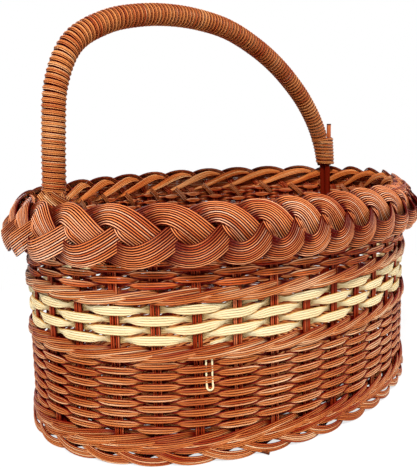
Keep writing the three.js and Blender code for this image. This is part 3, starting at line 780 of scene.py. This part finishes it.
# on the inside one bundle for each lobe leans back from the top row and goes over the edge: place
# in lobes, outward and height (mm)
INNER_BUNDLE = (
    (1.50, 1.8, 121.4), (1.28, 0.2, 123.0), (1.04, -1.5, 125.4), (0.80, -2.6, 128.2), (0.56, -2.9, 130.8),
    (0.32, -2.2, 132.8), (0.08, -1.0, 134.2), (-0.16, 0.5, 134.5), (-0.38, 2.0, 133.4),
)
INNER_STEPS = 17
INNER_STRAND = 1.1
INNER_FOLLOW = 3.2
INNER_FOLLOW_FROM = 124.0
INNER_FOLLOW_RISE = 10.0
INNER_SPREAD, INNER_OPENING = 0.55, 0.5
INNER_TURN_FROM, INNER_TURN_REACH = -3.0, 9.0
INNER_UPTURN = 0.25
CANE_INNER = cane_finish(
    "orange-brown inner cane", groove_shade=(0.14, 0.004, 0.0006), deep=(0.36, 0.04, 0.005),
    body=(0.66, 0.19, 0.04), bright=(0.84, 0.46, 0.2), grooving=(0.30, 0.92), contrast=0.8,
)
inner_along, inner_out, inner_up = smooth_through(INNER_BUNDLE, INNER_STEPS).T
spread = INNER_SPREAD + INNER_OPENING * ease(np.linspace(0.0, 1.6, INNER_STEPS))
# it faces inward at first and turns up on its way over the edge
over = np.clip((inner_out - INNER_TURN_FROM) / INNER_TURN_REACH, 0.0, 1.0)[:, None]
risen = np.clip((inner_up - INNER_FOLLOW_FROM) / INNER_FOLLOW_RISE, 0.0, 1.0)
inner_runs = []
for crest in range(PLAIT_LOBES):
    station = plait_station(crest + inner_along)
    # it follows the plait where that leans in at the far end
    follow = INNER_FOLLOW * nearness(station, *FAR_END) * risen
    line = wall_point(station, inner_out - follow, inner_up - follow)
    face = unit(-wall_outward(station) * (1.0 - over) + UP * (INNER_UPTURN + over))
    inner_runs.append((line, unit(np.cross(face, heading(line))) * spread[:, None], face, False))
inner = lay_cane(inner_runs, INNER_STRAND, CANE_INNER, strands=5, crown=0.5, waver=0.25, seed=113)

# below each of them the ends of a stake's strands lean across, lower down at every second one
LEANING_END = ((-0.20, -1.0, 116.0), (-0.08, -2.6, 119.5), (0.06, -3.6, 123.0), (0.20, -3.8, 126.0))
LEANING_START = 0.1
LEANING_STRAND = 0.85
LEANING_SPACING = 1.0
LEANING_DROP = 2.2
end_along, end_out, end_up = smooth_through(LEANING_END, 7).T
leaning_runs = []
for crest in range(PLAIT_LOBES):
    station = plait_station(crest + LEANING_START + end_along)
    line = wall_point(station, end_out, end_up - LEANING_DROP * (crest % 2))
    face = -wall_outward(station)
    leaning_runs.append((line, unit(np.cross(face, heading(line))) * LEANING_SPACING, face, False))
leaning = lay_cane(leaning_runs, LEANING_STRAND, CANE_PLAIT, strands=4, crown=0.1, waver=0.2, seed=115)

# a padding of plain canes runs round behind the plait and closes the gaps in it: outward, height
PADDING = ((1.4, 120.8), (2.0, 124.6), (2.6, 128.4), (3.2, 132.0), (3.9, 118.6), (4.8, 122.6))
PADDING_STRAND = 1.05
PADDING_STEPS = 2
PADDING_SWAY = ((0.5, 0.9, 0.0),)
place = np.arange(STAKE_COUNT * PADDING_STEPS) / PADDING_STEPS
wander = sway(place, PADDING_SWAY)
padding_runs = []
for outward, height in PADDING:
    line = wall_point(place, outward + 0.3 * wander, height + wander)
    padding_runs.append((line, UP * PADDING_STRAND, wall_outward(place), True))
padding = lay_cane(padding_runs, PADDING_STRAND, CANE_UPPER, strands=4, sides=5, seed=114)
finish_piece("rim_border", [bands, joining, inner, leaning, padding], "cane_plait", "rim_plait")

# Handle rods
# Two round cane rods side by side carry the handle. They stand inside the wall at both ends, bend
# over in one arch and are bare just above the far rim. Two thinner canes lie in the furrows
# between them, so that the wrapping comes out round.
HANDLE_OFFSET = 9.3
LEG_HALF_SPAN = 141.3
HANDLE_RISE = 105.7
ROD_DIAMETER = 4.4
ROD_HALF_GAP = 2.35
ROD_FOOT = 10.8
ROD_LEG_STEPS = 7
ARCH_STEPS = 97
STEPS_PER_STOP = 24
SIDEWAYS = np.array([0.0, 1.0, 0.0])
CANE_ROD = cane_finish(
    "red-brown rod cane", groove_shade=(0.12, 0.006, 0.001), deep=(0.14, 0.008, 0.001),
    body=(0.34, 0.055, 0.012), bright=(0.58, 0.20, 0.07), grooving=(0.1, 0.6),
)
# along in half spans, and height above the rim in rises
ARCH_OUTLINE = (
    (-1, -0.19), (-0.982, 0.07), (-0.970, 0.33), (-0.945, 0.58), (-0.860, 0.785), (-0.686, 0.912),
    (-0.489, 0.974), (-0.294, 0.998), (-0.1, 0.993), (0.092, 0.960), (0.279, 0.885), (0.458, 0.783),
    (0.625, 0.65), (0.778, 0.489), (0.901, 0.297), (0.983, 0.067), (1, -0.19),
)


def between(first, last, start, stop, place):
    """The point at a place between two points, which stand at the start and at the stop."""
    return first * (stop - place) / (stop - start) + last * (place - start) / (stop - start)


def evenly(points, count):
    """The same line with count points at even steps."""
    run = run_along(points)
    even = np.linspace(0.0, run[-1], count)
    return np.stack([np.interp(even, run, points[:, axis]) for axis in range(3)], axis=1)


def arch_curve(count):
    """The arch's middle line, a centripetal curve through its outline, at even steps."""
    along, rise = np.array(ARCH_OUTLINE).T
    across = np.full(len(ARCH_OUTLINE), HANDLE_OFFSET)
    stops = np.stack([along * LEG_HALF_SPAN, across, RIM_HEIGHT + rise * HANDLE_RISE], axis=1)
    ends = np.vstack([2.0 * stops[0] - stops[1], stops, 2.0 * stops[-1] - stops[-2]])
    knots = np.concatenate([[0.0], np.cumsum(np.linalg.norm(np.diff(ends, axis=0), axis=1) ** 0.5)])
    fine = []
    for i in range(1, len(ends) - 2):
        knot = knots[i - 1:i + 3]
        corner = ends[i - 1:i + 3]
        for place in np.linspace(knot[1], knot[2], STEPS_PER_STOP, endpoint=False):
            once = [between(corner[j], corner[j + 1], knot[j], knot[j + 1], place) for j in range(3)]
            twice = [between(once[j], once[j + 1], knot[j], knot[j + 2], place) for j in range(2)]
            fine.append(between(*twice, knot[1], knot[2], place))
    return evenly(np.array(fine + [stops[-1]]), count)


def upright_line(along, across, heights):
    return np.stack([np.full(len(heights), along), np.full(len(heights), across), heights], axis=1)


arch = arch_curve(ARCH_STEPS)
leg_heights = np.linspace(ROD_FOOT, arch[0, 2], ROD_LEG_STEPS + 1)[:-1]
near_leg = upright_line(arch[0, 0], HANDLE_OFFSET, leg_heights)
far_leg = near_leg[::-1] * (-1.0, 1.0, 1.0)
rod_middle = np.vstack([near_leg, arch, far_leg])
rod_runs = [(rod_middle + SIDEWAYS * ROD_HALF_GAP * sign, SIDEWAYS, UP, False) for sign in (-1.0, 1.0)]
rods = lay_cane(rod_runs, ROD_DIAMETER, CANE_ROD, waver=0.25, sides=14, seed=121)
finish_piece("handle_rod_canes", [rods], "cane_brown", "handle_rod_front", "handle_rod_back")

# the two thinner canes start and end a few steps up the arch
CORE_DIAMETER = 2.6
CORE_OFFSET = 2.9
CORE_SPAN = slice(8, -8)
core_middle = arch[CORE_SPAN]
core_out = unit(np.cross(heading(arch), SIDEWAYS))[CORE_SPAN]
core_runs = [(core_middle + core_out * CORE_OFFSET * sign, SIDEWAYS, UP, False) for sign in (-1.0, 1.0)]
cores = lay_cane(core_runs, CORE_DIAMETER, CANE_ROD, sides=8, seed=122)
finish_piece("handle_core_canes", [cores], "cane_brown", "handle_core_inner", "handle_core_outer")

# Handle wrapping
# A flat bundle of three strands is wound tightly round the rods, about 130 turns from one foot
# to the other. The last turns at the far foot also take in the peg. At the near foot the ends are
# fanned out and tucked into the rim.
WRAP_STRAND = 1.14
WRAP_SPACING = 0.96
WRAP_TURN = 3.0
WRAP_REACH = 5.85
WRAP_STEPS = 24
WRAP_START = 1.6
FINE_ARCH_STEPS = 1201
PEG_OFFSET = 5.4
PEG_DIAMETER = 3.6
PEG_CLEARANCE = 0.65
BOUND_TOP = 163.5
BOUND_FADE = 2.0
BOUND_WIDENING = 0.7
WRAP_SWAY = ((0.06, 1.7, 0.0), (0.05, 0.9, 1.0))

CANE_WRAP = cane_finish(
    "golden wrapping cane", groove_shade=(0.06, 0.001, 0.0002), deep=(0.40, 0.05, 0.008),
    body=(0.72, 0.27, 0.075), bright=(0.94, 0.66, 0.40), grooving=(0.30, 0.95), bordering=(-0.2, 0.45),
)

fine_arch = arch_curve(FINE_ARCH_STEPS)
wrapped = fine_arch[fine_arch[:, 2] > RIM_HEIGHT + WRAP_START]
turns = int(round(run_along(wrapped)[-1] / WRAP_TURN))
turn = np.linspace(0.0, 1.0, turns * WRAP_STEPS + 1) * turns
middle = evenly(wrapped, turns * WRAP_STEPS + 1)
along = heading(middle)
angle = -2.0 * math.pi * turn
# the peg stands upright while the leg leans, so the turns round both grow wider towards their top
bound = np.clip((BOUND_TOP - middle[:, 2]) / BOUND_FADE, 0.0, 1.0) * (middle[:, 0] > 0.0)
outward = unit(np.cross(along, SIDEWAYS))
outward = unit(outward * (1.0 - bound)[:, None] + np.array([1.0, 0.0, 0.0]) * bound[:, None])
peg_reach = LEG_HALF_SPAN + PEG_OFFSET - middle[:, 0] + 0.5 * PEG_DIAMETER + PEG_CLEARANCE
out_reach = WRAP_REACH + bound * np.where(np.sin(angle) > 0.0, peg_reach - WRAP_REACH, 0.0)
side_reach = WRAP_REACH + BOUND_WIDENING * bound
line = middle + SIDEWAYS * (np.cos(angle) * side_reach)[:, None]
line = line + outward * (np.sin(angle) * out_reach)[:, None] + along * sway(turn, WRAP_SWAY)[:, None]
face = unit(SIDEWAYS * np.cos(angle)[:, None] + outward * np.sin(angle)[:, None])
wrap_run = (line, along * WRAP_SPACING, face, False)
winding = lay_cane([wrap_run], WRAP_STRAND, CANE_WRAP, strands=3, crown=0.42, waver=0.05, seed=131)

# five fanned ends under the last turn at the near foot: from, to (mm)
FANNED_ENDS = (
    ((-146.5, 12.0, 142.0), (-141.8, -9.0, 123.0)),
    ((-139.5, 3.0, 141.5), (-139.8, -12.0, 124.0)),
    ((-138.0, -1.0, 140.5), (-141.0, 9.0, 123.0)),
    ((-147.3, 5.9, 141.8), (-138.2, -3.2, 131.0)),
    ((-145.4, 3.2, 142.0), (-134.6, -5.4, 133.5)),
)
FAN_STEPS = 7
FAN_STRAND = 1.1
FAN_SPACING = 1.15
FAN_BOW = 1.2
toward = unit(np.array([-1.0, -0.6, 0.0]))
fan_runs = []
for start, end in FANNED_ENDS:
    spine = np.linspace(np.array(start), np.array(end), FAN_STEPS)
    spine[:, 0] -= FAN_BOW * np.sin(np.linspace(0.0, math.pi, FAN_STEPS))
    fan_runs.append((spine, unit(np.cross(toward, heading(spine))) * FAN_SPACING, toward, False))
fans = lay_cane(fan_runs, FAN_STRAND, CANE_WRAP, strands=4, seed=132)
finish_piece("handle_binding", [winding, fans], "cane_brown", "handle_wrap")

# Peg
# A short cut cane stands upright against the far leg. The last turns of the wrapping hold it, and
# its dark cut end stands a little above them.
PEG_LENGTH = 35.0
PEG_FOOT = RIM_HEIGHT + 0.3
PEG_FACE = np.array([-0.5, -0.86, 0.0])
CUT_FROM, CUT_TO = -0.9, 0.25
CUT_OVERLAP = 0.1

peg_heights = np.linspace(PEG_FOOT, PEG_FOOT + PEG_LENGTH, 10)
peg_line = upright_line(LEG_HALF_SPAN + PEG_OFFSET, HANDLE_OFFSET, peg_heights)
peg_run = (peg_line, SIDEWAYS, PEG_FACE, False)
peg = lay_cane([peg_run], PEG_DIAMETER, CANE_ROD, waver=0.3, sides=16, seed=141)
cut_run = (peg_line[-1] + np.outer(np.linspace(CUT_FROM, CUT_TO, 3), UP), SIDEWAYS, PEG_FACE, False)
cut = lay_cane([cut_run], PEG_DIAMETER + CUT_OVERLAP, CUT_END, waver=0.0, sides=16, seed=142)
finish_piece("peg_cane", [peg, cut], "cane_brown", "handle_peg")

# Cream tail
# Where the cream bundle begins, the end of one strand was left long, bent into a hairpin and
# pushed down between the brown rows beside a stake.
TAIL_STATION = 22.25
TAIL_STRAND = 1.1
TAIL_HALF_GAP = 1.6
TAIL_TOP = 57.5
TAIL_LENGTH = 17.2
TAIL_LEG = TAIL_LENGTH - 3.5
TAIL_END = 0.4
TAIL_OUT = 1.4
TAIL_BEND_START = 0.74
TAIL_BEND_SHARE = 0.2
TAIL_LEG_STEPS = 5

bend = np.linspace(math.pi, 2.0 * math.pi, 9)
leg_side = np.full(TAIL_LEG_STEPS, TAIL_HALF_GAP)
tail_side = np.concatenate([-leg_side, TAIL_HALF_GAP * np.cos(bend), leg_side])
way_down = np.linspace(0.0, TAIL_LEG, TAIL_LEG_STEPS)
way_up = np.linspace(TAIL_LEG, TAIL_END, TAIL_LEG_STEPS)
tail_drop = np.concatenate([way_down, TAIL_LENGTH - TAIL_HALF_GAP * (1.0 + np.sin(bend)), way_up])
# its lower end comes out over the row below
tail_out = TAIL_OUT * (1.0 + ease(tail_drop / TAIL_LENGTH, TAIL_BEND_START, TAIL_BEND_SHARE))
tail_line = wall_point(TAIL_STATION + tail_side / STAKE_SPACING, tail_out, TAIL_TOP - tail_drop)
tail_run = (tail_line, UP, wall_outward(TAIL_STATION), False)
tail = lay_cane([tail_run], TAIL_STRAND, CANE_CREAM, sides=10, seed=151)
finish_piece("cream_hairpin", [tail], "cane_cream", "cream_tail")

# Studio
# A pale floor that turns white away from the basket, a soft lamp above the camera's left, weaker
# ones from the right and from behind, and an even white surrounding.
WHITE = (1.0, 1.0, 1.0)
GREY = (0.75, 0.75, 0.75)
BLACK = (0.0, 0.0, 0.0)
PALE_FLOOR = (0.93, 0.93, 0.93)
FLOOR_ROUGHNESS = 0.9
WORLD_LIGHT = 0.24
LAMP_AIM = (0.0, 0.0, 0.1)
# the floor's tones by the distance from the middle, in fours of the distance to the wall
FLOOR_TONES = ((0.15, BLACK), (0.21, GREY), (0.85, WHITE))


def seen_directly(wires):
    """1 for what the camera sees, also by gloss or through something clear, 0 for what only lights."""
    rays = wires.node("ShaderNodeLightPath").outputs
    seen = wires.number("ADD", rays["Is Camera Ray"], rays["Is Glossy Ray"])
    return wires.number("ADD", seen, rays["Is Transmission Ray"], use_clamp=True)


floor_mesh = bpy.data.meshes.new("floor")
floor_mesh.from_pydata([(-8, -8, 0), (8, -8, 0), (8, 8, 0), (-8, 8, 0)], [], [(0, 1, 2, 3)])
floor = bpy.data.objects.new("floor", floor_mesh)
bpy.context.scene.collection.objects.link(floor)
floor_paint = bpy.data.materials.new("pale floor")
floor_paint.use_nodes = True
paint = Wiring(floor_paint.node_tree)
pale = paint.tree.nodes["Principled BSDF"]
pale.inputs["Base Color"].default_value = (*PALE_FLOOR, 1.0)
pale.inputs["Roughness"].default_value = FLOOR_ROUGHNESS
# shaded beneath the basket, white further out
here = paint.node("ShaderNodeTexCoord").outputs["Object"]
in_half_baskets = (1.0 / (WALL_HALF_LENGTH * MM), 1.0 / (WALL_HALF_WIDTH * MM), 0.0)
distance = paint.measure("LENGTH", paint.vector("MULTIPLY", here, in_half_baskets))
quarter = paint.number("MULTIPLY", distance, 0.25)
away = paint.ramp(quarter, *FLOOR_TONES)
share_white = paint.number("MULTIPLY", away, seen_directly(paint))
white = paint.node("ShaderNodeEmission", {"Color": (*WHITE, 1.0)})
both = paint.node("ShaderNodeMixShader", [share_white, pale.outputs[0], white.outputs[0]])
paint.tree.links.new(both.outputs[0], paint.tree.nodes["Material Output"].inputs["Surface"])
floor_mesh.materials.append(floor_paint)

world = bpy.context.scene.world or bpy.data.worlds.new("studio")
bpy.context.scene.world = world
world.use_nodes = True
sky = Wiring(world.node_tree)
background = sky.tree.nodes["Background"].inputs
background["Color"].default_value = (*WHITE, 1.0)
feeds = {"To Min": WORLD_LIGHT, "To Max": 1.0, "Value": seen_directly(sky)}
strength = sky.node("ShaderNodeMapRange", feeds)
sky.tree.links.new(strength.outputs["Result"], background["Strength"])


def soft_lamp(name, place, size, watts):
    lamp = bpy.data.lights.new(name, "AREA")
    lamp.shape = "DISK"
    lamp.size = size
    lamp.energy = watts
    holder = bpy.data.objects.new(name, lamp)
    holder.location = place
    holder.rotation_euler = (Vector(LAMP_AIM) - Vector(place)).to_track_quat("-Z", "Y").to_euler()
    bpy.context.scene.collection.objects.link(holder)


soft_lamp("key lamp", place=(-0.86, -0.55, 1.10), size=0.28, watts=25.0)
soft_lamp("fill lamp", place=(0.9, -0.8, 0.75), size=0.6, watts=9.0)
soft_lamp("back lamp", place=(0.35, 1.0, 0.75), size=0.8, watts=7.0)

# Camera
# The photograph was taken from the near left, a little above the rim. Place, turn and focal length
# come from the stakes, bands and outline of the basket in it.
PICTURE_HEIGHT = 470.0
FOCAL_PIXELS = 665.28
SENSOR_HEIGHT = 24.0
CAMERA_PLACE = (-0.35543, -0.29157, 0.17734)
YAW, PITCH, ROLL = 0.7202, -0.1662, -0.0229

ahead = Vector((math.cos(YAW) * math.cos(PITCH), math.sin(YAW) * math.cos(PITCH), math.sin(PITCH)))
right = Vector((math.sin(YAW), -math.cos(YAW), 0.0))
above = right.cross(ahead)
turned_right = math.cos(ROLL) * right + math.sin(ROLL) * above
turned_above = -math.sin(ROLL) * right + math.cos(ROLL) * above
view = bpy.data.cameras.new("photo camera")
view.sensor_fit = "VERTICAL"
view.sensor_height = SENSOR_HEIGHT
view.lens = FOCAL_PIXELS / PICTURE_HEIGHT * SENSOR_HEIGHT
view.clip_start = 0.01
camera = bpy.data.objects.new("photo camera", view)
turn = Matrix((turned_right, turned_above, -ahead)).transposed()
camera.matrix_world = Matrix.Translation(CAMERA_PLACE) @ turn.to_4x4()
bpy.context.scene.collection.objects.link(camera)
bpy.context.scene.camera = camera
bpy.context.scene.view_settings.view_transform = "Standard"
